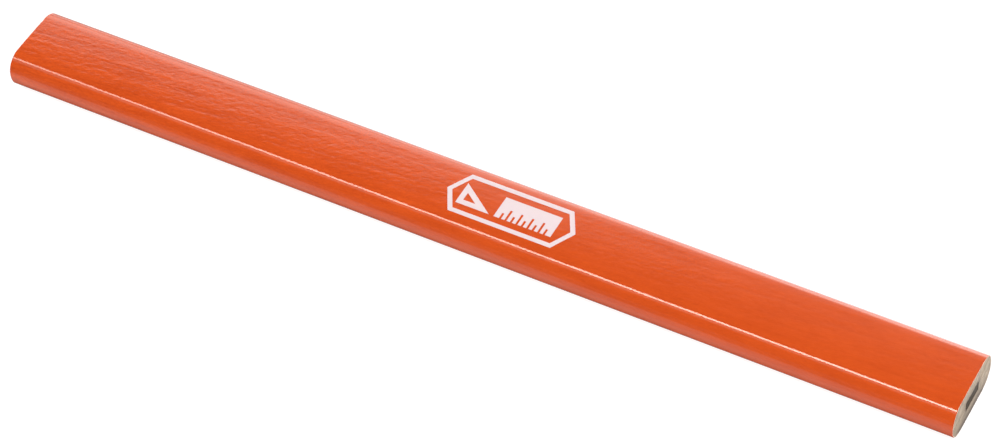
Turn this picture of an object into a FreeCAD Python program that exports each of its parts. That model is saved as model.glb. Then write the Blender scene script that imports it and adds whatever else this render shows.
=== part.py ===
"""Flat carpenter pencil, unsharpened: two grooved wooden slats glued round a rectangular graphite lead,
a ground coat and a coloured lacquer coat round the wood, and a printed mark on the upper face.

Frame: the pencil lies along X on its lower flat face, +Z up, and the origin is the middle of that face.
Millimetres. Every driving size is a cell of the "sizes" sheet, and the sketches and features read its cells.
"""

import FreeCAD
import Part
import math
import os
import Sketcher

from FreeCAD import Vector

OUT_FOLDER = "parts"
UP = Vector(0, 0, 1)
START, END, CENTRE = 1, 2, 3  # the Sketcher's numbers for the points of a line or an arc
ORIGIN = (-1, START)  # the Sketcher's name for a sketch's own origin

# Driving sizes: name, millimetres (or a count), what it is.
SIZES = [
    ("pencil_length", 175.0, "overall length between the two sawn ends"),
    ("pencil_width", 15.0, "overall width over the lacquer"),
    ("pencil_thickness", 7.4, "overall thickness over the lacquer, flat to flat"),
    ("corner_radius", 3.2, "radius where a flat face rolls over into a side"),
    ("side_radius", 5.0, "radius of the bulging side between its two corners"),
    ("lacquer_film", 0.1, "thickness of the coloured lacquer"),
    ("ground_film", 0.06, "thickness of the pale ground coat under it"),
    ("lead_width", 4.8, "graphite lead, across the pencil"),
    ("lead_height", 2.0, "graphite lead, through the pencil"),
    ("lead_corner", 0.25, "radius of the lead's long edges"),
    ("bond_film", 0.1, "adhesive between the lead and its groove, all round"),
    ("glue_film", 0.08, "adhesive between the two slats"),
    ("ink_film", 0.03, "height of the print above the lacquer"),
    ("mark_centre", 7.3, "middle of the printed mark, along the pencil"),
    ("mark_length", 23.6, "printed mark from point to point"),
    ("mark_width", 8.4, "printed mark, across the pencil"),
    ("mark_point", 2.4, "how far each pointed end of the mark runs out"),
    ("mark_border", 0.8, "width of the line round the mark"),
    ("rule_offset", 3.2, "middle of the printed rule from the middle of the mark"),
    ("rule_length", 10.4, "printed rule, along the pencil"),
    ("rule_width", 4.4, "printed rule, across the pencil"),
    ("tick_width", 0.4, "width of a tick cut out of the rule"),
    ("tick_pitch", 2.0, "distance from one tick to the next of its length"),
    ("short_tick", 1.2, "length of a short tick"),
    ("short_ticks", 5, "number of short ticks"),
    ("long_tick", 2.2, "length of a long tick, halfway between two short ones"),
    ("long_ticks", 4, "number of long ticks"),
    ("square_offset", -6.0, "middle of the printed set square from the middle of the mark"),
    ("square_length", 6.2, "set square's leg along the pencil"),
    ("square_height", 4.4, "set square's leg across the pencil"),
    ("square_border", 0.95, "width of the set square's three sides"),
]

# Sizes that the sheet works out from the driving ones.
DERIVED = [
    ("mid_height", "=pencil_thickness / 2", "height of the glued joint"),
    ("coat_film", "=lacquer_film + ground_film", "both coats together"),
    ("side_centre", "=pencil_width / 2 - side_radius", "centre of a side's arc, from the middle"),
    ("corner_rise", "=mid_height - corner_radius", "centre of a corner's arc, from mid height"),
    (
        "corner_centre",
        "=side_centre + sqrt((side_radius - corner_radius)^2 - corner_rise^2)",
        "centre of a corner's arc, from the middle, where it is tangent to the side",
    ),
    ("groove_width", "=lead_width + 2 * bond_film", "groove for the lead, across the pencil"),
    ("groove_height", "=lead_height + 2 * bond_film", "the two grooves together"),
    ("groove_corner", "=lead_corner + bond_film", "radius of the groove's long edges"),
    (
        "mark_slant",
        "=sqrt(mark_point^2 + (mark_width / 2)^2)",
        "length of a slanted side of the mark",
    ),
    (
        "window_tip",
        "=mark_length / 2 - 2 * mark_border * mark_slant / mark_width",
        "point of the window inside the mark's line, from the middle",
    ),
    (
        "window_shoulder",
        "=window_tip - mark_point * (1 - 2 * mark_border / mark_width)",
        "where the window's point begins, from the middle",
    ),
    (
        "square_inset",
        "=square_border * sqrt(1 / square_length^2 + 1 / square_height^2)",
        "share of the set square that the border of its slanted side takes",
    ),
]

PIECES = [
    "lower_slat",
    "upper_slat",
    "graphite_lead",
    "lead_bond",
    "glue_strip_front",
    "glue_strip_back",
    "ground_coat",
    "colour_coat",
    "printed_mark",
]


# ---------------------------------------------------------------- document, sheet and sketch tools


def make_sheet(doc):
    """The spreadsheet: column A names each size, B holds it under that name, C says what it is."""
    sheet = doc.addObject("Spreadsheet::Sheet", "sizes")
    rows = [(name, str(value), note) for name, value, note in SIZES] + DERIVED
    for row, (name, content, note) in enumerate(rows, start=1):
        sheet.set(f"A{row}", name)
        sheet.set(f"B{row}", content)
        sheet.set(f"C{row}", note)
        sheet.setAlias(f"B{row}", name)
    doc.recompute()


def cell(text):
    """An expression in plain size names, such as "lead_width / 2", as one that reads the sheet."""
    names = [name for name, *_ in SIZES + DERIVED]
    words = text.replace("(", " ( ").replace(")", " ) ").split()
    return " ".join(f"sizes.{word}" if word in names else word for word in words)


def value(obj, text):
    """The number that an expression in plain size names stands for now."""
    return float(obj.evalExpression(cell(text)))


def new_body(doc, label):
    body = doc.addObject("PartDesign::Body", label)
    body.Label = label
    return body


def new_sketch(body, name, plane, height=None):
    """An empty sketch on one of the body's own origin planes, lifted to a height if one is given."""
    sketch = body.newObject("Sketcher::SketchObject", name)
    origin_plane = next(o for o in body.Origin.OriginFeatures if o.Role == plane)
    sketch.AttachmentSupport = [(origin_plane, "")]
    sketch.MapMode = "FlatFace"
    if height:
        sketch.setExpression(".AttachmentOffset.Base.z", cell(height))
    return sketch


def dimension(sketch, kind, *place, size):
    """Adds one dimension to a sketch and binds it to the sheet."""
    index = sketch.addConstraint(Sketcher.Constraint(kind, *place, value(sketch, size)))
    sketch.setExpression(f"Constraints[{index}]", cell(size))


def place_point(sketch, geometry, point, across, up):
    """Fixes one point of a sketch by its two coordinates."""
    dimension(sketch, "DistanceX", *ORIGIN, geometry, point, size=across)
    dimension(sketch, "DistanceY", *ORIGIN, geometry, point, size=up)


def join(sketch, kind, loop):
    """Joins each piece of a closed loop to the next, end to start."""
    for first, second in zip(loop, loop[1:] + loop[:1]):
        sketch.addConstraint(Sketcher.Constraint(kind, first, END, second, START))


def arc(sketch, across, up, radius, start_angle, end_angle):
    """Adds an arc, anticlockwise, with plain numbers that its constraints then hold."""
    circle = Part.Circle(Vector(across, up, 0), UP, radius)
    return sketch.addGeometry(Part.ArcOfCircle(circle, start_angle, end_angle), False)


def line(sketch, start, end):
    return sketch.addGeometry(Part.LineSegment(Vector(*start, 0), Vector(*end, 0)), False)


# ---------------------------------------------------------------- outlines


def polygon(sketch, corners):
    """A closed outline of straight sides, with each corner's two coordinates bound to the sheet."""
    points = [(value(sketch, across), value(sketch, up)) for across, up in corners]
    sides = [line(sketch, a, b) for a, b in zip(points, points[1:] + points[:1])]
    join(sketch, "Coincident", sides)
    for side, (across, up) in zip(sides, corners):
        place_point(sketch, side, START, across, up)


def on_circle(centre, radius, angle):
    return centre[0] + radius * math.cos(angle), centre[1] + radius * math.sin(angle)


def rounded_rectangle(sketch, width, height, corner):
    """A rectangle with rounded corners about the pencil's middle, at the height of the glued joint."""
    half_width, half_height, radius = (value(sketch, t) for t in (f"{width} / 2", f"{height} / 2", corner))
    middle = value(sketch, "mid_height")
    right_centre, left_centre = half_width - radius, radius - half_width
    high_centre, low_centre = middle + half_height - radius, middle - half_height + radius
    centres = [
        (right_centre, high_centre),
        (left_centre, high_centre),
        (left_centre, low_centre),
        (right_centre, low_centre),
    ]
    corners, sides = [], []
    for quarter, centre in enumerate(centres):
        begin, finish = quarter * math.pi / 2, (quarter + 1) * math.pi / 2
        following = centres[(quarter + 1) % 4]
        corners.append(arc(sketch, *centre, radius, begin, finish))
        side = line(sketch, on_circle(centre, radius, finish), on_circle(following, radius, finish))
        sides.append(side)
    join(sketch, "Tangent", [piece for pair in zip(corners, sides) for piece in pair])
    top, left, bottom, right = sides
    for kind, side in (("Horizontal", top), ("Horizontal", bottom), ("Vertical", left), ("Vertical", right)):
        sketch.addConstraint(Sketcher.Constraint(kind, side))
    for other in corners[1:]:
        sketch.addConstraint(Sketcher.Constraint("Equal", corners[0], other))
    dimension(sketch, "Radius", corners[0], size=corner)
    dimension(sketch, "DistanceX", *ORIGIN, right, START, size=f"{width} / 2")
    dimension(sketch, "DistanceX", *ORIGIN, left, START, size=f"-1 * {width} / 2")
    dimension(sketch, "DistanceY", *ORIGIN, top, START, size=f"mid_height + {height} / 2")
    dimension(sketch, "DistanceY", *ORIGIN, bottom, START, size=f"mid_height - {height} / 2")


def oval(sketch, inset):
    """The pencil's section, this far inside the finished surface: two flats, two sides and four corners."""
    middle = value(sketch, "mid_height")
    depth = value(sketch, inset)
    side_across, corner_across, rise = (
        value(sketch, t) for t in ("side_centre", "corner_centre", "corner_rise")
    )
    side_radius, corner_radius = (value(sketch, t) - depth for t in ("side_radius", "corner_radius"))
    turn = math.atan2(rise, corner_across - side_across)  # where a side meets its corners
    quarter, half = math.pi / 2, math.pi
    top, bottom = middle + rise + corner_radius, middle - rise - corner_radius
    loop = [
        arc(sketch, side_across, middle, side_radius, -turn, turn),
        arc(sketch, corner_across, middle + rise, corner_radius, turn, quarter),
        line(sketch, (corner_across, top), (-corner_across, top)),
        arc(sketch, -corner_across, middle + rise, corner_radius, quarter, half - turn),
        arc(sketch, -side_across, middle, side_radius, half - turn, half + turn),
        arc(sketch, -corner_across, middle - rise, corner_radius, half + turn, 3 * quarter),
        line(sketch, (-corner_across, bottom), (corner_across, bottom)),
        arc(sketch, corner_across, middle - rise, corner_radius, -quarter, -turn),
    ]
    join(sketch, "Tangent", loop)
    right_side, right_corner, top_line, left_corner, left_side, low_left, bottom_line, low_right = loop
    for flat in (top_line, bottom_line):
        sketch.addConstraint(Sketcher.Constraint("Horizontal", flat))
    for other in (left_corner, low_left, low_right):
        sketch.addConstraint(Sketcher.Constraint("Equal", right_corner, other))
    sketch.addConstraint(Sketcher.Constraint("Equal", right_side, left_side))
    place_point(sketch, right_side, CENTRE, "side_centre", "mid_height")
    place_point(sketch, left_side, CENTRE, "-1 * side_centre", "mid_height")
    dimension(sketch, "Radius", right_side, size=f"side_radius - {inset}")
    dimension(sketch, "Radius", right_corner, size=f"corner_radius - {inset}")
    dimension(sketch, "DistanceY", *ORIGIN, top_line, START, size=f"pencil_thickness - {inset}")
    dimension(sketch, "DistanceY", *ORIGIN, bottom_line, START, size=inset)


# ---------------------------------------------------------------- features


def pad_along(body, sketch):
    """Pads a section to the pencil's whole length, half each way."""
    pad = body.newObject("PartDesign::Pad", sketch.Name + "_pad")
    pad.Profile = sketch
    pad.SideType = "Symmetric"
    pad.setExpression("Length", cell("pencil_length"))
    body.Document.recompute()


def pad_ink(body, sketch):
    """Raises a print's outline from the lacquer to the height of the ink."""
    pad = body.newObject("PartDesign::Pad", sketch.Name + "_pad")
    pad.Profile = sketch
    pad.setExpression("Length", cell("ink_film"))
    body.Document.recompute()


def cut_through(body, sketch):
    """Cuts a sketch's outline right through the body, and makes sure that it took something away."""
    before = body.Shape.Volume
    pocket = body.newObject("PartDesign::Pocket", sketch.Name + "_cut")
    pocket.Profile = sketch
    pocket.SideType = "Symmetric"
    pocket.Type = "ThroughAll"
    body.Document.recompute()
    if not body.Shape.Volume < before:
        raise RuntimeError(f"{pocket.Name} cut nothing")
    return pocket


# ---------------------------------------------------------------- the pencil's pieces


def slat(doc, label, keep_upper):
    """Half of the wood: the section's outline, sawn off at the glued joint, with its half of the groove."""
    body = new_body(doc, label)
    outline = new_sketch(body, label + "_outline", "YZ_Plane")
    oval(outline, "coat_film")
    pad_along(body, outline)

    other_half = new_sketch(body, label + "_split", "YZ_Plane")
    joint = "mid_height + glue_film / 2" if keep_upper else "mid_height - glue_film / 2"
    beyond = "-1 * pencil_thickness" if keep_upper else "2 * pencil_thickness"
    low, high = (beyond, joint) if keep_upper else (joint, beyond)
    left, right = "-1 * pencil_width", "pencil_width"
    polygon(other_half, [(left, low), (right, low), (right, high), (left, high)])
    cut_through(body, other_half)

    groove = new_sketch(body, label + "_groove", "YZ_Plane")
    rounded_rectangle(groove, "groove_width", "groove_height", "groove_corner")
    cut_through(body, groove)


def graphite_lead(doc):
    """The flat lead, with eased long edges."""
    body = new_body(doc, "graphite_lead")
    section = new_sketch(body, "lead_section", "YZ_Plane")
    rounded_rectangle(section, "lead_width", "lead_height", "lead_corner")
    pad_along(body, section)


def lead_bond(doc):
    """The adhesive that fills the clearance between the lead and the groove."""
    body = new_body(doc, "lead_bond")
    section = new_sketch(body, "bond_section", "YZ_Plane")
    rounded_rectangle(section, "groove_width", "groove_height", "groove_corner")
    rounded_rectangle(section, "lead_width", "lead_height", "lead_corner")
    pad_along(body, section)


def glue_strip(doc, label, side):
    """The glued joint on one side of the lead, from the groove out to the face of the wood.

    side is 1 for the back of the pencil, towards +Y, and -1 for the front.
    """
    body = new_body(doc, label)
    section = new_sketch(body, label + "_section", "YZ_Plane")
    middle, half_film = value(section, "mid_height"), value(section, "glue_film / 2")
    centre = side * value(section, "side_centre")
    radius = value(section, "side_radius - coat_film")
    turn = math.asin(half_film / radius)
    inner = side * value(section, "groove_width / 2")
    outer = centre + side * radius * math.cos(turn)
    # The loop runs anticlockwise, so it leaves the wood's face high on the back and low in front.
    facing = 0 if side > 0 else math.pi
    leave, back = middle + side * half_film, middle - side * half_film
    wood_face = arc(section, centre, middle, radius, facing - turn, facing + turn)
    leaving = line(section, (outer, leave), (inner, leave))
    groove_face = line(section, (inner, leave), (inner, back))
    returning = line(section, (inner, back), (outer, back))
    join(section, "Coincident", [wood_face, leaving, groove_face, returning])
    for joint_face in (leaving, returning):
        section.addConstraint(Sketcher.Constraint("Horizontal", joint_face))
    section.addConstraint(Sketcher.Constraint("Vertical", groove_face))
    place_point(section, wood_face, CENTRE, f"{side} * side_centre", "mid_height")
    dimension(section, "Radius", wood_face, size="side_radius - coat_film")
    dimension(section, "DistanceX", *ORIGIN, groove_face, START, size=f"{side} * groove_width / 2")
    dimension(section, "DistanceY", *ORIGIN, groove_face, START, size=f"mid_height + {side} * glue_film / 2")
    dimension(section, "DistanceY", *ORIGIN, groove_face, END, size=f"mid_height - {side} * glue_film / 2")
    pad_along(body, section)


def coat(doc, label, outer_inset, inner_inset):
    """A film of even thickness round the whole pencil, open at both sawn ends."""
    body = new_body(doc, label)
    section = new_sketch(body, label + "_section", "YZ_Plane")
    oval(section, outer_inset)
    oval(section, inner_inset)
    pad_along(body, section)


def mark_frame(doc):
    """The printed line round the mark: a long hexagon with a pointed end each way."""
    body = new_body(doc, "mark_frame")
    outline = new_sketch(body, "mark_outline", "XY_Plane", height="pencil_thickness")
    for tip, shoulder, half_width in (
        ("mark_length / 2", "( mark_length / 2 - mark_point )", "mark_width / 2"),
        ("window_tip", "window_shoulder", "( mark_width / 2 - mark_border )"),
    ):
        corners = [(f"mark_centre + {tip}", "0 * mark_width")]
        corners += [(f"mark_centre {sign} {shoulder}", half_width) for sign in "+-"]
        corners += [(f"mark_centre - {tip}", "0 * mark_width")]
        corners += [(f"mark_centre {sign} {shoulder}", f"-1 * {half_width}") for sign in "-+"]
        polygon(outline, corners)
    pad_ink(body, outline)
    return body


def cut_ticks(body, name, first, length, count):
    """Cuts a row of ticks out of the printed rule's front edge."""
    notch = new_sketch(body, name, "XY_Plane", height="pencil_thickness")
    begin = f"mark_centre + rule_offset - rule_length / 2 + {first} - tick_width / 2"
    edge = "-1 * rule_width / 2"
    corners = [
        (begin, f"{edge} - tick_width"),
        (f"{begin} + tick_width", f"{edge} - tick_width"),
        (f"{begin} + tick_width", f"{edge} + {length}"),
        (begin, f"{edge} + {length}"),
    ]
    polygon(notch, corners)
    before = body.Shape.Volume
    first_tick = cut_through(body, notch)
    row = body.newObject("PartDesign::LinearPattern", name + "_row")
    row.Originals = [first_tick]
    row.Direction = (notch, ["H_Axis"])
    row.setExpression("Length", cell(f"tick_pitch * ( {count} - 1 )"))
    row.setExpression("Occurrences", cell(count))
    body.Tip = row
    body.Document.recompute()
    removed = before - body.Shape.Volume
    expected = value(body, f"{count} * tick_width * {length} * ink_film")
    if abs(removed - expected) > 0.01 * expected:
        raise RuntimeError(f"{row.Name} took away {removed:.3f} and not {expected:.3f} cubic millimetres")


def mark_rule(doc):
    """The printed rule: a solid bar with short and long ticks cut out of its front edge."""
    body = new_body(doc, "mark_rule")
    bar = new_sketch(body, "rule_bar", "XY_Plane", height="pencil_thickness")
    left, right = (f"mark_centre + rule_offset {sign} rule_length / 2" for sign in "-+")
    front, back = "-1 * rule_width / 2", "rule_width / 2"
    polygon(bar, [(left, front), (right, front), (right, back), (left, back)])
    pad_ink(body, bar)
    first = "( rule_length - tick_pitch * ( short_ticks - 1 ) ) / 2"
    cut_ticks(body, "short_tick_notch", first, "short_tick", "short_ticks")
    cut_ticks(body, "long_tick_notch", f"{first} + tick_pitch / 2", "long_tick", "long_ticks")
    return body


def mark_square(doc):
    """The printed set square: a right-angled triangle with a triangular window."""
    body = new_body(doc, "mark_square")
    outline = new_sketch(body, "square_outline", "XY_Plane", height="pencil_thickness")
    heel = "mark_centre + square_offset - square_length / 2"
    foot = "-1 * square_height / 2"
    polygon(
        outline,
        [(heel, foot), (f"{heel} + square_length", foot), (heel, "square_height / 2")],
    )
    toe = "square_length * ( 1 - square_inset - square_border / square_height )"
    peak = "square_height * ( 1 - square_inset - square_border / square_length )"
    polygon(
        outline,
        [
            (f"{heel} + square_border", f"{foot} + square_border"),
            (f"{heel} + {toe}", f"{foot} + square_border"),
            (f"{heel} + square_border", f"{foot} + {peak}"),
        ],
    )
    pad_ink(body, outline)
    return body


def printed_mark(doc):
    """The whole print, as one piece of separate patches of ink."""
    mark = doc.addObject("Part::Compound", "printed_mark")
    mark.Links = [mark_frame(doc), mark_rule(doc), mark_square(doc)]
    doc.recompute()
    return mark


# ---------------------------------------------------------------- building and writing


def check_document(doc):
    """Stops if any object failed to build, or if a piece's shape isn't sound."""
    failed = [o.Name for o in doc.Objects if {"Invalid", "Error"} & set(o.State)]
    if failed:
        raise RuntimeError(f"these objects failed to build: {failed}")
    loose = [o.Name for o in doc.Objects if o.TypeId == "Sketcher::SketchObject" and o.solve() != 0]
    if loose:
        raise RuntimeError(f"these sketches don't solve: {loose}")
    for label in PIECES:
        shape = doc.getObjectsByLabel(label)[0].Shape
        if shape.isNull() or not shape.isValid() or not shape.Solids:
            raise RuntimeError(f"{label} isn't a valid solid")


def build():
    doc = FreeCAD.newDocument("carpenter_pencil")
    make_sheet(doc)
    slat(doc, "lower_slat", keep_upper=False)
    slat(doc, "upper_slat", keep_upper=True)
    graphite_lead(doc)
    lead_bond(doc)
    glue_strip(doc, "glue_strip_front", side=-1)
    glue_strip(doc, "glue_strip_back", side=1)
    coat(doc, "ground_coat", outer_inset="lacquer_film", inner_inset="coat_film")
    coat(doc, "colour_coat", outer_inset="0 * lacquer_film", inner_inset="lacquer_film")
    printed_mark(doc)
    doc.recompute()
    check_document(doc)
    return doc


def write_pieces(doc):
    os.makedirs(OUT_FOLDER, exist_ok=True)
    for label in PIECES:
        shape = doc.getObjectsByLabel(label)[0].Shape
        shape.exportStep(os.path.join(OUT_FOLDER, label + ".step"))
        print(f"{label}: {len(shape.Solids)} solid(s), {shape.Volume:.2f} cubic millimetres")


write_pieces(build())
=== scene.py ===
"""Looks of the flat carpenter pencil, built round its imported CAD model. Metres, in the CAD model's own frame:
the pencil lies along X on its lower face, +Z up, and the origin is the middle of that face."""

import math

import bmesh
import bpy
import numpy as np
from mathutils import Matrix, Vector
from mathutils.geometry import delaunay_2d_cdt


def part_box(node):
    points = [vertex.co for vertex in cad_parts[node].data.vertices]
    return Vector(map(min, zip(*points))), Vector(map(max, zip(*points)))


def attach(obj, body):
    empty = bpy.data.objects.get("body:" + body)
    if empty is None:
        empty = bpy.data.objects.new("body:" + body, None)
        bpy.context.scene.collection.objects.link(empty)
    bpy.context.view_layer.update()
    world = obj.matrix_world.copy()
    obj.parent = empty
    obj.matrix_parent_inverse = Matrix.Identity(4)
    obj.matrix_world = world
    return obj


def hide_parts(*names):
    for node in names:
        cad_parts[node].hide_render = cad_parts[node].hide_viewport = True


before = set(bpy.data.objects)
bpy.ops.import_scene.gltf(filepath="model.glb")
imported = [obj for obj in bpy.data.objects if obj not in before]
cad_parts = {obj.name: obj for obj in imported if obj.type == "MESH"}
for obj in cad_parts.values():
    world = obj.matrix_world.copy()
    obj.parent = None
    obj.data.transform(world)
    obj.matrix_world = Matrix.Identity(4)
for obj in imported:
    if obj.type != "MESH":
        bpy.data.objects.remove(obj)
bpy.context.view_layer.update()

# ---------------------------------------------------------------- sizes, light and camera

MM = 0.001


def box_sizes(node):
    """Half width, half height and length of a CAD node that runs the pencil's whole length."""
    low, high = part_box(node)
    return (high.y - low.y) / 2, (high.z - low.z) / 2, high.x - low.x


HALF_WIDTH, HALF_THICKNESS, LENGTH = box_sizes("colour_coat")
PRIMER_HALF_WIDTH = box_sizes("ground_coat")[0]
WOOD_HALF_WIDTH = box_sizes("lower_slat")[0]
LEAD_HALF_WIDTH, LEAD_HALF_HEIGHT, _ = box_sizes("graphite_lead")
GROOVE_HALF_WIDTH, GROOVE_HALF_HEIGHT, _ = box_sizes("lead_bond")
HALF_GLUE = box_sizes("glue_strip_front")[1]
LACQUER_FILM = HALF_WIDTH - PRIMER_HALF_WIDTH

# The CAD section's radii, and the arcs' centres that follow from them.
CORNER_RADIUS = 3.2 * MM
SIDE_RADIUS = 5.0 * MM
LEAD_CORNER = 0.25 * MM
SIDE_CENTRE = HALF_WIDTH - SIDE_RADIUS
CORNER_RISE = HALF_THICKNESS - CORNER_RADIUS
CORNER_CENTRE = SIDE_CENTRE + math.sqrt((SIDE_RADIUS - CORNER_RADIUS) ** 2 - CORNER_RISE**2)
CORNER_TURN = math.atan2(CORNER_RISE, CORNER_CENTRE - SIDE_CENTRE)

CROWN = 0.05  # share of the half thickness that the flat faces would lose at the full half width
FACE_STEP = 0.17 * MM  # spacing of the points across the sawn wood
LEAD_STEP = 0.12 * MM  # and across the sawn lead
RELIEF = 0.003 * MM  # depth of the grain that shows through the lacquer
WAVES = 0.008 * MM  # depth of the film's slow unevenness
GRAIN_LEAN = math.radians(5)  # how far the grain runs off the pencil's length
RIPPLE_LEAN = math.radians(13)  # and the lacquer's fine ripples
RIPPLE_DEPTH = 0.047 * MM  # and how deep those are, on the flat faces at the left
RIM_RADIUS = 0.04 * MM  # rounding of the lacquer's rims
INK_SINK = 0.03 * MM  # how far the ink reaches down into the lacquer
INK_STEP = 0.35 * MM  # size of the faces that the ink is cut into

# A sawn end: how far it slants, how deep and how far apart the saw marks are and which way they run across
# it, and how deep its roughness is and how wide.
SAW_SLANT = 0.06 * MM
MARK_DEPTH = 0.006 * MM
MARK_PITCH = 0.42 * MM
MARK_DIRECTION = (0.34, 0.94)
ROUGH_DEPTH = 0.012 * MM
ROUGH_WIDTH = 0.3 * MM

NOISE_ROWS = 512  # cells after which lattice_noise repeats along v
SECTION_CELLS = 97  # more cells of noise than a section needs
SMOOTH_ANGLE = math.radians(35)  # edges that turn by more than this look sharp

# Radiances of the studio round the floor: of the dim room, and of the backdrop behind the pencil, low down
# and high up. Those two run from the right to the left. Then the tints of the room and of the front lights.
ROOM = 0.16
HORIZON = (3.6, 1.1)
UPPER_BACKDROP = (0.9, 2.9)
ROOM_TINT = (1, 0.98, 0.93, 1)
WARM_TINT = (1, 0.93, 0.82)

# Radiances that the floor gives off: as it is seen, and as it is mirrored in front of the pencil, close behind
# it and far behind it. The mirrored ones are a painted reflection of light and shade. Behind the pencil they
# run from the left to the right.
FLOOR_GLOW = 0.86
LIT_PATCH = 0.65
CLOSE_BEHIND = (0.12, 1.2)
FAR_BEHIND = (1.4, 2.4)

# Where that mirrored glow changes, across the floor from the pencil's middle: the lit patch's front and back
# edges, and the stretches over which the floor behind comes up.
PATCH_FRONT = (-2.5 * HALF_WIDTH, -2.2 * HALF_WIDTH)
PATCH_BACK = (-1.3 * HALF_WIDTH, -HALF_WIDTH)
CLOSE_RISE = (0.0, HALF_WIDTH)
FAR_RISE = (2 * HALF_WIDTH, 8 * HALF_WIDTH)

# The camera: its angles in degrees round to the right, up from the floor and in roll, how far it stands from
# the pencil's middle, how far it is then moved right and up in its own picture plane, and its lens.
CAMERA_ANGLES = (33.71, 48.99, -6.31)
CAMERA_DISTANCE = 493.8 * MM
CAMERA_MOVE = (4.09 * MM, 0.38 * MM)
LENS = 108.44
SENSOR_WIDTH = 36


# ---------------------------------------------------------------- noise and section


def lattice_noise(u, v, cells, seed):
    """Smooth noise from -1 to 1, with one cell to each unit. It repeats after this many cells along u."""
    table = np.random.default_rng(seed).uniform(-1, 1, (cells, NOISE_ROWS))
    cell_u, cell_v = np.floor(u).astype(int), np.floor(v).astype(int)
    part_u, part_v = u - cell_u, v - cell_v
    ease_u, ease_v = part_u**2 * (3 - 2 * part_u), part_v**2 * (3 - 2 * part_v)

    def at(step_u, step_v):
        return table[(cell_u + step_u) % cells, (cell_v + step_v) % NOISE_ROWS]

    near = at(0, 0) * (1 - ease_u) + at(1, 0) * ease_u
    far = at(0, 1) * (1 - ease_u) + at(1, 1) * ease_u
    return near * (1 - ease_v) + far * ease_v


def crowned(points):
    """Bends section points, given from mid height, so that the flat faces bulge a little."""
    points = np.asarray(points, float)
    keep = 1 - CROWN * (points[:, 0] / HALF_WIDTH) ** 2
    return np.column_stack([points[:, 0], points[:, 1] * keep])


def arc_points(centre, radius, start, end, spacing):
    """Points along an arc, its last one left out."""
    count = max(2, round(abs(end - start) * radius / spacing))
    angles = np.linspace(start, end, count, endpoint=False)
    return np.column_stack([centre[0] + radius * np.cos(angles), centre[1] + radius * np.sin(angles)])


def line_points(start, end, spacing):
    """Points along a straight line, its last one left out."""
    start, end = np.asarray(start, float), np.asarray(end, float)
    count = max(1, round(float(np.linalg.norm(end - start)) / spacing))
    share = np.linspace(0, 1, count, endpoint=False)[:, None]
    return start * (1 - share) + end * share


def oval_loop(inset, fine, coarse):
    """The pencil's section this far inside its surface, anticlockwise from the front side's middle.

    The upper half has the fine spacing and the lower half the coarse one. Spacings are those of the full
    section, so that loops with different insets have matching points.
    """
    side, corner, flat = SIDE_RADIUS - inset, CORNER_RADIUS - inset, HALF_THICKNESS - inset
    side_fine, side_coarse = fine * side / SIDE_RADIUS, coarse * side / SIDE_RADIUS
    corner_fine, corner_coarse = fine * corner / CORNER_RADIUS, coarse * corner / CORNER_RADIUS
    turn, half = CORNER_TURN, math.pi
    front, back = (-SIDE_CENTRE, 0), (SIDE_CENTRE, 0)
    stretches = [
        arc_points(front, side, -half, turn - half, side_coarse),
        arc_points((-CORNER_CENTRE, -CORNER_RISE), corner, turn - half, -half / 2, corner_coarse),
        line_points((-CORNER_CENTRE, -flat), (CORNER_CENTRE, -flat), coarse),
        arc_points((CORNER_CENTRE, -CORNER_RISE), corner, -half / 2, -turn, corner_coarse),
        arc_points(back, side, -turn, 0, side_coarse),
        arc_points(back, side, 0, turn, side_fine),
        arc_points((CORNER_CENTRE, CORNER_RISE), corner, turn, half / 2, corner_fine),
        line_points((CORNER_CENTRE, flat), (-CORNER_CENTRE, flat), fine),
        arc_points((-CORNER_CENTRE, CORNER_RISE), corner, half / 2, half - turn, corner_fine),
        arc_points(front, side, half - turn, half, side_fine),
    ]
    return np.vstack(stretches)


def rounded_loop(half_width, half_height, radius, spacing):
    """A rectangle with rounded corners, anticlockwise."""
    y, z = half_width - radius, half_height - radius
    quarter = math.pi / 2
    stretches = []
    corners = [(y, z), (-y, z), (-y, -z), (y, -z)]
    for index, centre in enumerate(corners):
        stretches.append(arc_points(centre, radius, index * quarter, (index + 1) * quarter, radius / 4))
        following = corners[(index + 1) % 4]
        outward = radius * np.array([math.cos((index + 1) * quarter), math.sin((index + 1) * quarter)])
        stretches.append(line_points(centre + outward, following + outward, spacing))
    return np.vstack(stretches)


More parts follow.
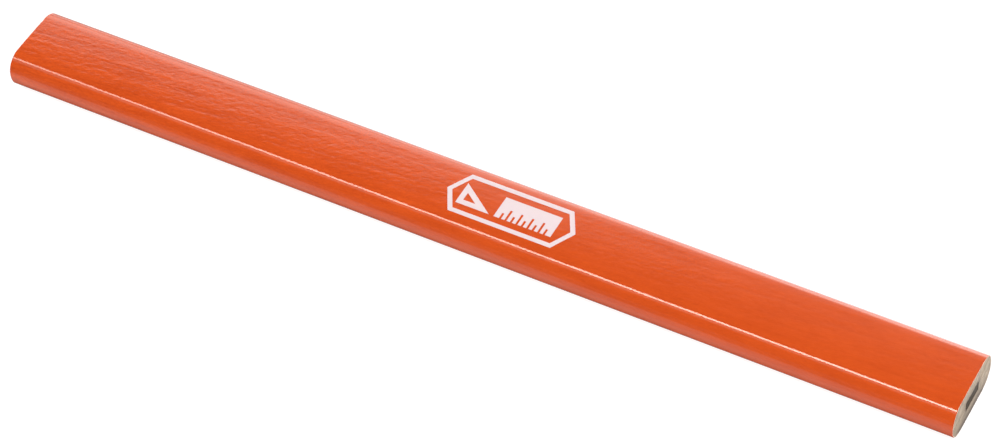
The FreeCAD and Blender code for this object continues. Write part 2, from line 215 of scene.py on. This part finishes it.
def slat_loop(spacing):
    """The upper slat's section: the outside of the wood, the glued joint and the upper half of the groove."""
    inset = HALF_WIDTH - WOOD_HALF_WIDTH
    side, corner, flat = SIDE_RADIUS - inset, CORNER_RADIUS - inset, HALF_THICKNESS - inset
    start = math.asin(HALF_GLUE / side)
    outer = SIDE_CENTRE + side * math.cos(start)
    turn, half = CORNER_TURN, math.pi
    groove = LEAD_CORNER + GROOVE_HALF_WIDTH - LEAD_HALF_WIDTH
    groove_y, groove_z = GROOVE_HALF_WIDTH - groove, GROOVE_HALF_HEIGHT - groove
    return np.vstack(
        [
            arc_points((SIDE_CENTRE, 0), side, start, turn, spacing),
            arc_points((CORNER_CENTRE, CORNER_RISE), corner, turn, half / 2, spacing),
            line_points((CORNER_CENTRE, flat), (-CORNER_CENTRE, flat), spacing),
            arc_points((-CORNER_CENTRE, CORNER_RISE), corner, half / 2, half - turn, spacing),
            arc_points((-SIDE_CENTRE, 0), side, half - turn, half - start, spacing),
            line_points((-outer, HALF_GLUE), (-GROOVE_HALF_WIDTH, HALF_GLUE), spacing),
            line_points((-GROOVE_HALF_WIDTH, HALF_GLUE), (-GROOVE_HALF_WIDTH, groove_z), spacing),
            arc_points((-groove_y, groove_z), groove, half, half / 2, spacing / 2),
            line_points((-groove_y, GROOVE_HALF_HEIGHT), (groove_y, GROOVE_HALF_HEIGHT), spacing),
            arc_points((groove_y, groove_z), groove, half / 2, 0, spacing / 2),
            line_points((GROOVE_HALF_WIDTH, groove_z), (GROOVE_HALF_WIDTH, HALF_GLUE), spacing),
            line_points((GROOVE_HALF_WIDTH, HALF_GLUE), (outer, HALF_GLUE), spacing),
        ]
    )


def glue_loop(spacing):
    """The back glue strip's section, from the groove out to the face of the wood."""
    side = SIDE_RADIUS - (HALF_WIDTH - WOOD_HALF_WIDTH)
    turn = math.asin(HALF_GLUE / side)
    outer = SIDE_CENTRE + side * math.cos(turn)
    return np.vstack(
        [
            arc_points((SIDE_CENTRE, 0), side, -turn, turn, HALF_GLUE),
            line_points((outer, HALF_GLUE), (GROOVE_HALF_WIDTH, HALF_GLUE), spacing),
            line_points((GROOVE_HALF_WIDTH, HALF_GLUE), (GROOVE_HALF_WIDTH, -HALF_GLUE), spacing),
            line_points((GROOVE_HALF_WIDTH, -HALF_GLUE), (outer, -HALF_GLUE), spacing),
        ]
    )


# ---------------------------------------------------------------- mesh tools


def inside_loop(points, loop):
    """Which of the points lie inside a closed loop."""
    start, end = loop, np.roll(loop, -1, axis=0)
    inside = np.zeros(len(points), bool)
    for (ay, az), (by, bz) in zip(start, end):
        if az == bz:
            continue
        crosses = (az > points[:, 1]) != (bz > points[:, 1])
        at = ay + (points[:, 1] - az) * (by - ay) / (bz - az)
        inside ^= crosses & (points[:, 0] < at)
    return inside


def fill_points(loops, spacing, seed):
    """Points spread over a section, clear of its outline, a little off a regular grid."""
    jitter, clearance = 0.25, 0.6  # both as shares of the spacing
    low, high = loops[0].min(axis=0), loops[0].max(axis=0)
    across, up = (np.arange(start, stop, spacing) for start, stop in zip(low, high))
    grid = np.stack(np.meshgrid(across, up), axis=-1).reshape(-1, 2)
    grid += np.random.default_rng(seed).uniform(-jitter, jitter, grid.shape) * spacing
    kept = inside_loop(grid, loops[0])
    for hole in loops[1:]:
        kept &= ~inside_loop(grid, hole)
    grid = grid[kept]
    outline = np.vstack(loops)
    gap = np.array([np.linalg.norm(outline - point, axis=1).min() for point in grid])
    return grid[gap > clearance * spacing]


def triangles_over(loops, inner):
    """Triangles that fill the section between its loops. They number the loops' points and then the inner."""
    points = [Vector(point) for part in (*loops, inner) for point in part]
    faces, begin = [], 0
    for loop in loops:
        faces.append(list(range(begin, begin + len(loop))))
        begin += len(loop)
    _, _, triangles, origin, *_ = delaunay_2d_cdt(points, [], faces, 2, 1e-9)
    return [[origin[i][0] for i in triangle] for triangle in triangles]


def add_object(name, data):
    """Puts a mesh, a light or a camera into the scene."""
    added = bpy.data.objects.new(name, data)
    bpy.context.scene.collection.objects.link(added)
    return added


def add_piece(mesh, material, node):
    """Puts a piece into the scene, smooth and in its material, and hides the CAD node it stands for."""
    mesh.materials.append(material)
    mesh.shade_smooth()
    mesh.set_sharp_from_angle(angle=SMOOTH_ANGLE)
    piece = add_object(mesh.name, mesh)
    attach(piece, "root")
    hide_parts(node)


def sawn_bar(name, loops, material, node, inner=(), stations=(0, 1), end_gap=None, relief=None):
    """A closed bar with this section, sawn off at both ends: an outer loop, then a loop for each hole.

    inner are more section points, for the sawn ends. stations are the places of the outer loop's rings, from
    0 at one end to 1 at the other. end_gap gives how far short of the nominal end each section point stops,
    and relief how far each point of a ring sinks below the section's outline.
    """
    section = np.vstack([*loops, inner]) if len(inner) else np.vstack(loops)
    bent = crowned(section)
    gaps = [sawn_gap(section, side) + (end_gap(section, side) if end_gap else 0) for side in (-1, 1)]
    left, right = gaps[0] - LENGTH / 2, LENGTH / 2 - gaps[1]
    blocks, faces, total = [], [], 0
    caps = [[], []]  # for each end, the mesh point that each section point became

    def add_block(part, station):
        """Adds the section points in part, at this station, and returns their numbers in the mesh."""
        nonlocal total
        x = left[part] * (1 - station) + right[part] * station
        y, z = bent[part].T
        if relief and part.start == 0:
            normals = outward(bent[part])
            sunk = relief(x, station)
            y, z = y - normals[:, 0] * sunk, z - normals[:, 1] * sunk
        blocks.append(np.column_stack([x, y, z + HALF_THICKNESS]))
        total += len(y)
        return list(range(total - len(y), total))

    begin = 0
    for loop in loops:
        part = slice(begin, begin + len(loop))
        rings = [add_block(part, station) for station in (stations if begin == 0 else (0, 1))]
        for ring, following in zip(rings, rings[1:]):
            faces += zip(ring, ring[1:] + ring[:1], following[1:] + following[:1], following)
        caps[0] += rings[0]
        caps[1] += rings[-1]
        begin += len(loop)
    for cap, station in zip(caps, (0, 1)):
        cap += add_block(slice(begin, len(section)), station)
    for triangle in triangles_over(loops, inner):
        faces.append([caps[1][i] for i in triangle])
        faces.append([caps[0][i] for i in reversed(triangle)])
    mesh = bpy.data.meshes.new(name)
    mesh.from_pydata(np.vstack(blocks).tolist(), [], faces)
    mesh.validate()
    add_piece(mesh, material, node)


def outward(loop):
    """Unit normals of a closed anticlockwise loop."""
    along = np.roll(loop, -1, axis=0) - np.roll(loop, 1, axis=0)
    along /= np.linalg.norm(along, axis=1)[:, None]
    return np.column_stack([along[:, 1], -along[:, 0]])


def sawn_gap(section, side):
    """How far short of the nominal end the saw left each point: a slight slant, saw marks and roughness."""
    y, z = section.T
    cells, middle = 997, 500  # more cells of noise than a section needs, and the one in its middle
    slant = 0.5 + 0.3 * side * y / HALF_WIDTH + 0.2 * z / HALF_THICKNESS
    marks = np.sin(section @ MARK_DIRECTION / MARK_PITCH * 2 * math.pi)
    rough = lattice_noise(y / ROUGH_WIDTH + middle, z / ROUGH_WIDTH + middle, cells, 11 + side)
    return SAW_SLANT * slant + MARK_DEPTH * (1 + marks) + ROUGH_DEPTH * (1 + rough)


def turned_over(loop):
    """The loop turned upside down, still anticlockwise."""
    return (loop * [1, -1])[::-1]


def swapped_over(loop):
    """The loop turned from the back to the front, still anticlockwise."""
    return (loop * [-1, 1])[::-1]


def as_hole(loop):
    """The loop run clockwise, as the loop of a hole is."""
    return loop[::-1]


# ---------------------------------------------------------------- materials


class Nodes:
    """A material's node tree, with short ways to add to it."""

    def __init__(self, name):
        self.material = bpy.data.materials.new(name)
        self.material.use_nodes = True
        self.tree = self.material.node_tree
        self.shader = self.tree.nodes["Principled BSDF"]

    def add(self, kind, inputs=(), **settings):
        """Adds a node with these settings. Each of these inputs is linked if it is a socket, or else set."""
        node = self.tree.nodes.new(kind)
        for name, value in settings.items():
            setattr(node, name, value)
        for socket, value in dict(inputs).items():
            if isinstance(value, bpy.types.NodeSocket):
                self.tree.links.new(value, node.inputs[socket])
            else:
                node.inputs[socket].default_value = value
        return node

    def place(self, scale, turn):
        """Object coordinates, turned and then divided by this scale."""
        coordinates = self.add("ShaderNodeTexCoord").outputs["Object"]
        mapping = self.add(
            "ShaderNodeMapping",
            {"Vector": coordinates, "Scale": scale, "Rotation": turn},
            vector_type="TEXTURE",
        )
        return mapping.outputs["Vector"]

    def along(self, axis):
        """How far along one axis of the object each point lies."""
        coordinates = self.add("ShaderNodeTexCoord").outputs["Object"]
        return self.add("ShaderNodeSeparateXYZ", {"Vector": coordinates}).outputs[axis]

    def noise(self, cell, detail=3.0, roughness=0.55, distortion=0.0, turn=(0, 0, 0)):
        """Noise from 0 to 1, with cells of this length, width and height in metres."""
        inputs = {
            "Vector": self.place(cell, turn),
            "Scale": 1,
            "Detail": detail,
            "Roughness": roughness,
            "Distortion": distortion,
        }
        return self.add("ShaderNodeTexNoise", inputs).outputs["Fac"]

    def remap(self, value, low, high, to_low=0.0, to_high=1.0):
        """Stretches a value's range from low and high to two others, and clamps it there."""
        inputs = {"Value": value, "From Min": low, "From Max": high, "To Min": to_low, "To Max": to_high}
        return self.add("ShaderNodeMapRange", inputs).outputs["Result"]

    def mix(self, share, first, second):
        """Mixes two colours by a share. Each colour is a socket or three numbers."""
        node = self.add("ShaderNodeMix", data_type="RGBA")
        sockets = [node.inputs[0], node.inputs[6], node.inputs[7]]
        for socket, value in zip(sockets, (share, first, second)):
            if isinstance(value, bpy.types.NodeSocket):
                self.tree.links.new(value, socket)
            else:
                socket.default_value = (*value, 1) if isinstance(value, tuple) else value
        return node.outputs[2]

    def maths(self, operation, first, second=0.0):
        """One step of arithmetic on one or two values."""
        return self.add("ShaderNodeMath", {0: first, 1: second}, operation=operation).outputs[0]

    def link(self, value, socket):
        """Links a value to the shader."""
        self.tree.links.new(value, self.shader.inputs[socket])

    def bump(self, height, depth):
        """Bumps the surface by a height whose unit stands for this depth in metres."""
        bumped = self.add("ShaderNodeBump", {"Height": height, "Distance": depth})
        self.link(bumped.outputs["Normal"], "Normal")

    def surface(self, colour, roughness=None, **constants):
        """Links the shader's colour, and its roughness if that varies, and sets constants on its sockets."""
        self.link(colour, "Base Color")
        if roughness is not None:
            self.link(roughness, "Roughness")
        for name, value in constants.items():
            self.shader.inputs[name.replace("_", " ")].default_value = value
        return self.material


def lacquer_material():
    """Glossy orange lacquer. The wood's grain shows through it, in its colour and in fine ripples of its
    surface. Both fade towards the right end, and the ripples also fade round the sides."""
    nodes = Nodes("orange_lacquer")
    deep_orange, pale_orange = (0.453, 0.0507, 0.005), (0.59, 0.0765, 0.0097)
    ripple_lean, grain_lean = (0, 0, RIPPLE_LEAN), (0, 0, GRAIN_LEAN)
    ripples = nodes.noise((1.3 * MM, 0.8 * MM, 0.8 * MM), 2, 0.5, 0.5, ripple_lean)
    streaks = nodes.noise((20 * MM, 0.9 * MM, 0.9 * MM), 2, 0.55, 0.3, grain_lean)
    flecks = nodes.noise((0.8 * MM, 0.24 * MM, 0.24 * MM), 2, 0.6, 0.6, ripple_lean)
    clouds = nodes.noise((7 * MM, 3 * MM, 3 * MM), 3, 0.6)
    along = nodes.along("X")
    aside = nodes.maths("ABSOLUTE", nodes.along("Y"))

    shown = nodes.remap(along, -LENGTH / 2, LENGTH / 4, 1.0, 0.35)
    grain = nodes.maths("MULTIPLY", nodes.maths("ADD", streaks, flecks), 0.5)
    share = nodes.maths("MULTIPLY", nodes.remap(grain, 0.35, 0.65, -0.5, 0.5), shown)
    share = nodes.maths("ADD", share, nodes.remap(clouds, 0.3, 0.7, 0.35, 0.65))
    tone = nodes.mix(share, deep_orange, pale_orange)

    height = nodes.maths("ADD", nodes.maths("MULTIPLY", ripples, 0.6), nodes.maths("MULTIPLY", streaks, 0.4))
    height = nodes.maths("SUBTRACT", height, 0.5)
    fading = nodes.remap(aside, CORNER_CENTRE, HALF_WIDTH - CORNER_RADIUS / 2, 1.0, 0.25)
    fading = nodes.maths("MULTIPLY", fading, nodes.remap(along, -LENGTH / 4, LENGTH / 4, 1.0, 0.65))
    nodes.bump(nodes.maths("MULTIPLY", height, fading), RIPPLE_DEPTH)
    return nodes.surface(tone, nodes.remap(flecks, 0.2, 0.8, 0.05, 0.1))


def wood_material():
    """Bare sawn end grain with growth rings. It is greyed by graphite dust, most of all round the lead, and
    darkened along the middle of the lower face by painted shade."""
    nodes = Nodes("bare_wood")
    early_tone, middle_tone, late_tone = (0.50, 0.405, 0.31), (0.37, 0.285, 0.205), (0.22, 0.15, 0.095)
    pore_tone, dust_tone = (0.16, 0.115, 0.08), (0.23, 0.19, 0.15)
    smear_tone, lower_shade_tone = (0.17, 0.135, 0.115), (0.09, 0.07, 0.058)
    lean = (math.radians(24), 0, 0)
    rings = nodes.noise((1.0, 14 * MM, 0.9 * MM), 2, 0.5, 0.5, lean)
    late_wood = nodes.noise((1.0, 18 * MM, 0.3 * MM), 1, 0.5, 0.4, lean)
    pores = nodes.noise((1.0, 0.14 * MM, 0.14 * MM), 2)
    dust = nodes.noise((1.0, 1.5 * MM, 1.5 * MM), 4, 0.6)
    tone = nodes.mix(nodes.remap(rings, 0.35, 0.65), early_tone, middle_tone)
    tone = nodes.mix(nodes.remap(late_wood, 0.5, 0.66, 0, 0.55), tone, late_tone)
    tone = nodes.mix(nodes.remap(pores, 0.55, 0.75, 0, 0.5), tone, pore_tone)
    tone = nodes.mix(nodes.remap(dust, 0.4, 0.65, 0, 0.55), tone, dust_tone)

    height = nodes.along("Z")
    aside = nodes.maths("ABSOLUTE", nodes.along("Y"))
    off_middle = nodes.maths("ABSOLUTE", nodes.maths("SUBTRACT", height, HALF_THICKNESS))
    beside_lead = nodes.maths("SUBTRACT", aside, LEAD_HALF_WIDTH)
    over_lead = nodes.maths("SUBTRACT", off_middle, LEAD_HALF_HEIGHT)
    smear = nodes.remap(nodes.maths("MAXIMUM", beside_lead, over_lead), 0.0, 1.4 * MM, 0.5, 0.0)
    tone = nodes.mix(smear, tone, smear_tone)
    # Painted shade: the wood darkens towards the lower face, most in its middle, where the end would lie in
    # shade by the floor.
    shaded_lower_edge = nodes.remap(height, 0.6 * HALF_THICKNESS, 0.1 * HALF_THICKNESS)
    shaded_lower_edge = nodes.maths("MULTIPLY", shaded_lower_edge, nodes.remap(aside, CORNER_CENTRE, HALF_WIDTH, 0.95, 0.1))
    tone = nodes.mix(shaded_lower_edge, tone, lower_shade_tone)
    nodes.bump(pores, 0.04 * MM)
    return nodes.surface(tone, Roughness=0.8)


def graphite_material():
    """Fired graphite and clay: dark grey with a dull metallic sheen."""
    nodes = Nodes("graphite")
    dark_grey, pale_grey = (0.030, 0.020, 0.010), (0.068, 0.048, 0.028)
    grain = nodes.noise((0.2 * MM, 0.2 * MM, 0.2 * MM), 4, 0.6)
    tone = nodes.mix(nodes.remap(grain, 0.3, 0.7), dark_grey, pale_grey)
    roughness = nodes.remap(grain, 0.3, 0.7, 0.5, 0.65)
    nodes.bump(grain, 0.01 * MM)
    return nodes.surface(tone, roughness, Specular_IOR_Level=0.3)


def film_material(name, first, second, cell, roughness):
    """A plain film seen only on its edge, mottled between two colours."""
    nodes = Nodes(name)
    mottle = nodes.noise((cell, cell, cell), 3)
    tone = nodes.mix(nodes.remap(mottle, 0.3, 0.7), first, second)
    nodes.bump(mottle, 0.005 * MM)
    return nodes.surface(tone, Roughness=roughness)


def ink_material():
    """Cool white printing ink, slightly thin in places."""
    nodes = Nodes("white_ink")
    full_white, worn_white = (0.64, 0.54, 0.575), (0.62, 0.31, 0.25)
    thin = nodes.noise((1.4 * MM, 0.16 * MM, 0.16 * MM), 4, 0.65)
    tone = nodes.mix(nodes.remap(thin, 0.62, 0.8, 0, 0.4), full_white, worn_white)
    nodes.bump(thin, 0.003 * MM)
    return nodes.surface(tone, Roughness=0.42)


# ---------------------------------------------------------------- pieces


def rim_round(distance):
    """How far the lacquer's rim is rounded back at this distance from its end."""
    reach = np.clip(RIM_RADIUS - distance, 0, RIM_RADIUS)
    return RIM_RADIUS - np.sqrt(RIM_RADIUS**2 - reach**2)


def lacquer_coat(material):
    """The coloured film. Its outside shows the grain, and its rims are slightly rounded and chipped."""
    fine, coarse = 0.14 * MM, 0.42 * MM
    outer = oval_loop(0, fine, coarse)
    inner = oval_loop(LACQUER_FILM, fine, coarse)
    steps = np.linalg.norm(np.roll(outer, -1, axis=0) - outer, axis=1)
    girth = steps.sum()
    around = np.concatenate([[0], np.cumsum(steps)[:-1]])
    # The rings are close together at each end, where the rim is rounded.
    near_end = np.array([0, 0.008, 0.02, 0.04, 0.1, 0.25]) * MM / LENGTH
    body = np.linspace(near_end[-1], 1 - near_end[-1], 400)
    stations = np.concatenate([near_end[:-1], body, 1 - near_end[-2::-1]])

    def layer(x, width, length, seed):
        """Noise in cells of this width round the pencil and this length along it, at a slight lean."""
        cells = round(girth / width)
        lean = x * math.tan(GRAIN_LEAN) / width
        return lattice_noise(around / girth * cells + lean, x / length + 300, cells, seed)

    def relief(x, station):
        """How far the film sinks with the grain under it, its slow waves and its rounded rims."""
        grain = 0.5 * layer(x, 0.9 * MM, 16 * MM, 21) + 0.35 * layer(x, 0.45 * MM, 7 * MM, 22)
        grain += 0.15 * layer(x, 0.3 * MM, 3 * MM, 23)
        waves = layer(x, 5 * MM, 30 * MM, 24)
        return RELIEF * (1 + grain) + WAVES * (1 + waves) + rim_round(min(station, 1 - station) * LENGTH)

    sawn_bar(
        "lacquer_coat",
        [outer, as_hole(inner)],
        material,
        "colour_coat",
        stations=stations,
        end_gap=lambda section, side: film_gap(section, side, 0.02 * MM, 0.04 * MM),
        relief=relief,
    )


def film_gap(section, side, even, chips):
    """How far a film stops short of the sawn wood: a little all round, and more where it chipped."""
    turn = np.arctan2(section[:, 1], section[:, 0]) / (2 * math.pi)
    fine, coarse = 240, 60  # cells of noise round the section
    small = lattice_noise(turn * fine, 0 * turn, fine, 31 + side)
    large = lattice_noise(turn * coarse, 0 * turn, coarse, 41 + side)
    return even * (1 + 0.4 * small) + chips * np.clip(2 * large - 1, 0, 1)


def primer_coat(material):
    """The pale ground coat, which shows as a thin line between the wood and the colour."""
    spacing = 0.3 * MM
    outer = oval_loop(LACQUER_FILM, spacing, spacing)
    inner = oval_loop(HALF_WIDTH - WOOD_HALF_WIDTH, spacing, spacing)
    sawn_bar(
        "primer_coat",
        [outer, as_hole(inner)],
        material,
        "ground_coat",
        end_gap=lambda section, side: film_gap(section, side, 0.006 * MM, 0.015 * MM),
    )


def casing_slat(name, node, material, upper):
    """One half of the wooden casing, with rough sawn ends."""
    loop = slat_loop(FACE_STEP)
    if not upper:
        loop = turned_over(loop)
    inner = fill_points([loop], FACE_STEP, 51 + upper)

    def torn(section, side):
        """Pores and torn fibres, deeper here and there."""
        y, z = section[:, 0] + HALF_WIDTH, section[:, 1] + HALF_THICKNESS
        seed = 61 + side + 10 * upper
        fibres = lattice_noise(y / (0.35 * MM), z / (0.35 * MM), SECTION_CELLS, seed)
        patches = lattice_noise(y / (2 * MM), z / (2 * MM), SECTION_CELLS, seed + 3)
        return (0.03 * np.clip(fibres, 0, 1) + 0.025 * np.clip(patches, 0, 1)) * MM

    sawn_bar(name, [loop], material, node, inner=inner, end_gap=torn)


def lead_core(material):
    """The graphite lead, a little crumbled where the saw left it."""
    loop = rounded_loop(LEAD_HALF_WIDTH, LEAD_HALF_HEIGHT, LEAD_CORNER, LEAD_STEP)
    inner = fill_points([loop], LEAD_STEP, 71)

    def crumbled(section, side):
        """Grains broken out of the end, more of them along its edge."""
        y, z = section[:, 0] + HALF_WIDTH, section[:, 1] + HALF_THICKNESS
        to_edge = np.minimum(LEAD_HALF_WIDTH - abs(section[:, 0]), LEAD_HALF_HEIGHT - abs(section[:, 1]))
        edge = np.clip(1 - to_edge / (0.2 * MM), 0, 1)
        grains = lattice_noise(y / (0.16 * MM), z / (0.16 * MM), SECTION_CELLS, 72 + side)
        return (0.05 + 0.06 * edge**2 + 0.02 * grains) * MM

    sawn_bar("lead_core", [loop], material, "graphite_lead", inner=inner, end_gap=crumbled)


def lead_adhesive(material):
    """The adhesive sleeve between the lead and its groove."""
    bond = GROOVE_HALF_WIDTH - LEAD_HALF_WIDTH
    spacing = 0.25 * MM
    outer = rounded_loop(GROOVE_HALF_WIDTH, GROOVE_HALF_HEIGHT, LEAD_CORNER + bond, spacing)
    inner = rounded_loop(LEAD_HALF_WIDTH, LEAD_HALF_HEIGHT, LEAD_CORNER, spacing)
    sawn_bar("lead_adhesive", [outer, as_hole(inner)], material, "lead_bond")


def glue_line(name, node, material, back):
    """The glued joint on one side of the lead."""
    loop = glue_loop(0.3 * MM)
    if not back:
        loop = swapped_over(loop)
    sawn_bar(name, [loop], material, node)


def cut_small(patches, low, high):
    """Cuts the patches of ink in this box into small faces, across X and then across Y."""
    for axis, normal in enumerate((Vector((1, 0, 0)), Vector((0, 1, 0)))):
        for place in np.arange(low[axis] + INK_STEP / 2, high[axis], INK_STEP):
            everything = [*patches.verts, *patches.edges, *patches.faces]
            spot = float(place) * normal
            bmesh.ops.bisect_plane(patches, geom=everything, plane_co=spot, plane_no=normal, dist=1e-8)


def printed_ink(material):
    """The print: the CAD patches of ink, cut into small faces and laid on the crowned lacquer."""
    node = "printed_mark"
    patches = bmesh.new()
    patches.from_mesh(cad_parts[node].data)
    bmesh.ops.remove_doubles(patches, verts=patches.verts, dist=1e-7)
    low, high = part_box(node)
    cut_small(patches, low, high)
    points = np.array([vert.co[:] for vert in patches.verts])
    section = points[:, 1:] - [0, HALF_THICKNESS]
    underside = points[:, 2] < (low.z + high.z) / 2
    section[underside, 1] -= INK_SINK
    for vert, (y, z) in zip(patches.verts, crowned(section)):
        vert.co.y, vert.co.z = y, z + HALF_THICKNESS
    mesh = bpy.data.meshes.new("white_print")
    patches.to_mesh(mesh)
    patches.free()
    add_piece(mesh, material, node)


def build_pencil():
    """All nine pieces, each in its material."""
    wood = wood_material()
    glue = film_material("dried_glue", (0.16, 0.12, 0.085), (0.09, 0.068, 0.05), 0.3 * MM, 0.5)
    primer = film_material("pale_primer", (0.86, 0.70, 0.58), (0.80, 0.58, 0.45), 0.4 * MM, 0.6)
    casing_slat("lower_casing", "lower_slat", wood, upper=False)
    casing_slat("upper_casing", "upper_slat", wood, upper=True)
    lead_core(graphite_material())
    lead_adhesive(glue)
    glue_line("front_glue_line", "glue_strip_front", glue, back=False)
    glue_line("back_glue_line", "glue_strip_back", glue, back=True)
    primer_coat(primer)
    lacquer_coat(lacquer_material())
    printed_ink(ink_material())


# ---------------------------------------------------------------- camera, floor and light


def make_camera():
    """The view from the front right, 49 degrees above the floor, a little rolled."""
    azimuth, elevation, roll = (math.radians(angle) for angle in CAMERA_ANGLES)
    outward_part = math.cos(elevation)
    back = Vector((math.sin(azimuth) * outward_part, -math.cos(azimuth) * outward_part, math.sin(elevation)))
    level = (-back).cross(Vector((0, 0, 1))).normalized()
    upright = level.cross(-back)
    right = level * math.cos(roll) + upright * math.sin(roll)
    up = upright * math.cos(roll) - level * math.sin(roll)
    data = bpy.data.cameras.new("camera")
    data.lens, data.sensor_width = LENS, SENSOR_WIDTH
    data.clip_start, data.clip_end = 0.01, 20
    camera = add_object("camera", data)
    place = back * CAMERA_DISTANCE + right * CAMERA_MOVE[0] + up * CAMERA_MOVE[1]
    camera.matrix_world = Matrix.Translation(place) @ Matrix((right, up, back)).transposed().to_4x4()
    bpy.context.scene.camera = camera


def floor_material():
    """Pale and matte, and glowing as a light table does. Its mirror image in the gloss is a painted reflection:
    painted shade under the pencil and far in front of it, a painted lit patch between, and painted brightness
    behind it."""
    nodes = Nodes("pale_floor")
    mottle = nodes.noise((0.6, 0.6, 0.6), 2)
    tone = nodes.mix(mottle, (0.19, 0.19, 0.19), (0.21, 0.21, 0.21))
    along, across = nodes.along("X"), nodes.along("Y")
    close_behind = nodes.remap(along, -LENGTH / 2, LENGTH / 2, *CLOSE_BEHIND)
    far_behind = nodes.remap(along, -LENGTH / 2, LENGTH / 2, *FAR_BEHIND)
    # Painted reflection: only glossy rays see this painted shade, lit patch and bright floor behind.
    image = nodes.remap(across, *PATCH_FRONT, 0.0, LIT_PATCH)
    image = nodes.remap(across, *PATCH_BACK, image, 0.0)
    image = nodes.remap(across, *CLOSE_RISE, image, close_behind)
    image = nodes.remap(across, *FAR_RISE, image, far_behind)
    in_mirror = nodes.add("ShaderNodeLightPath").outputs["Is Glossy Ray"]
    nodes.link(nodes.remap(in_mirror, 0.0, 1.0, FLOOR_GLOW, image), "Emission Strength")
    return nodes.surface(tone, Roughness=0.6, Emission_Color=(1, 1, 1, 1))


def make_floor():
    """A wide plane, a hair below the pencil."""
    reach, gap = 6.0, 0.01 * MM
    mesh = bpy.data.meshes.new("floor")
    corners = [(-reach, -reach, 0), (reach, -reach, 0), (reach, reach, 0), (-reach, reach, 0)]
    mesh.from_pydata(corners, [], [(0, 1, 2, 3)])
    mesh.materials.append(floor_material())
    floor = add_object("floor", mesh)
    floor.location.z = -gap


def panel(name, place, tilt, size, radiance, colour=(1, 1, 1)):
    """A soft rectangular light facing down, tilted by these degrees about X, Y and Z in turn, that gives off
    this radiance. Returns its data."""
    data = bpy.data.lights.new(name, "AREA")
    data.shape = "RECTANGLE"
    data.size, data.size_y = size
    data.energy = radiance * math.pi * size[0] * size[1]
    data.color = colour
    light = add_object(name, data)
    light.location = place
    light.rotation_euler = [math.radians(angle) for angle in tilt]
    light.visible_camera = False
    return data


def dim_left(data, share):
    """Makes a light fade along its X side, down to this share of its radiance at the left end."""
    data.use_nodes = True
    tree = data.node_tree
    along = tree.nodes.new("ShaderNodeSeparateXYZ")
    tree.links.new(tree.nodes.new("ShaderNodeNewGeometry").outputs["Parametric"], along.inputs[0])
    fade = tree.nodes.new("ShaderNodeMapRange")
    fade.inputs["To Min"].default_value = share
    tree.links.new(along.outputs["X"], fade.inputs["Value"])
    tree.links.new(fade.outputs["Result"], tree.nodes["Emission"].inputs["Strength"])


def make_room():
    """The studio round the floor: dim in front and overhead, with a bright soft backdrop behind."""
    world = bpy.data.worlds.new("studio")
    world.use_nodes = True
    tree = world.node_tree
    direction = tree.nodes.new("ShaderNodeSeparateXYZ")
    tree.links.new(tree.nodes.new("ShaderNodeTexCoord").outputs["Generated"], direction.inputs[0])
    rise = tree.nodes.new("ShaderNodeMath")
    rise.operation = "DIVIDE"
    tree.links.new(direction.outputs["Z"], rise.inputs[0])
    tree.links.new(direction.outputs["Y"], rise.inputs[1])
    measures = {**dict(direction.outputs.items()), "rise": rise.outputs[0]}

    def fade(measure, start, end, first=0.0, last=1.0):
        """A smooth step between two values, as a measure of the direction goes from start to end."""
        step = tree.nodes.new("ShaderNodeMapRange")
        step.interpolation_type = "SMOOTHSTEP"
        values = {"Value": measures[measure], "From Min": start, "From Max": end}
        values.update({"To Min": first, "To Max": last})
        for name, value in values.items():
            if isinstance(value, bpy.types.NodeSocket):
                tree.links.new(value, step.inputs[name])
            else:
                step.inputs[name].default_value = value
        return step.outputs["Result"]

    leftward, downward, below_top, backward = (-0.25, -0.45), (0.36, 0.03), (1.54, 1.0), (0.0, 0.4)
    upper = fade("X", *leftward, *UPPER_BACKDROP)
    lower = fade("X", *leftward, *HORIZON)
    backdrop = fade("Z", *downward, upper, lower)
    backdrop = fade("rise", *below_top, ROOM, backdrop)
    background = tree.nodes["Background"]
    background.inputs["Color"].default_value = ROOM_TINT
    tree.links.new(fade("Y", *backward, ROOM, backdrop), background.inputs["Strength"])
    bpy.context.scene.world = world


def make_light():
    """A panel overhead, one at the front right, and a thin strip in front whose reflection draws the bright
    line along the pencil's front edge, with a dim panel under it for the line's soft lower side."""
    make_room()
    panel("overhead", (0.55, -0.05, 1.25), (0, 24, 0), (0.6, 1.2), 2.7)
    panel("front_right", (0.75, -0.7, 1.0), (35, 32, 0), (0.8, 0.8), 6.4)
    dim_left(panel("strip", (-0.35, -0.432, 0.895), (26.5, 0, -5), (0.7, 0.13), 20.0, WARM_TINT), 0.4)
    panel("spill", (-0.35, -0.57, 0.81), (35, 0, 0), (0.7, 0.27), 1.4, WARM_TINT)


make_camera()
build_pencil()
make_floor()
make_light()
bpy.context.scene.view_settings.view_transform = "Standard"
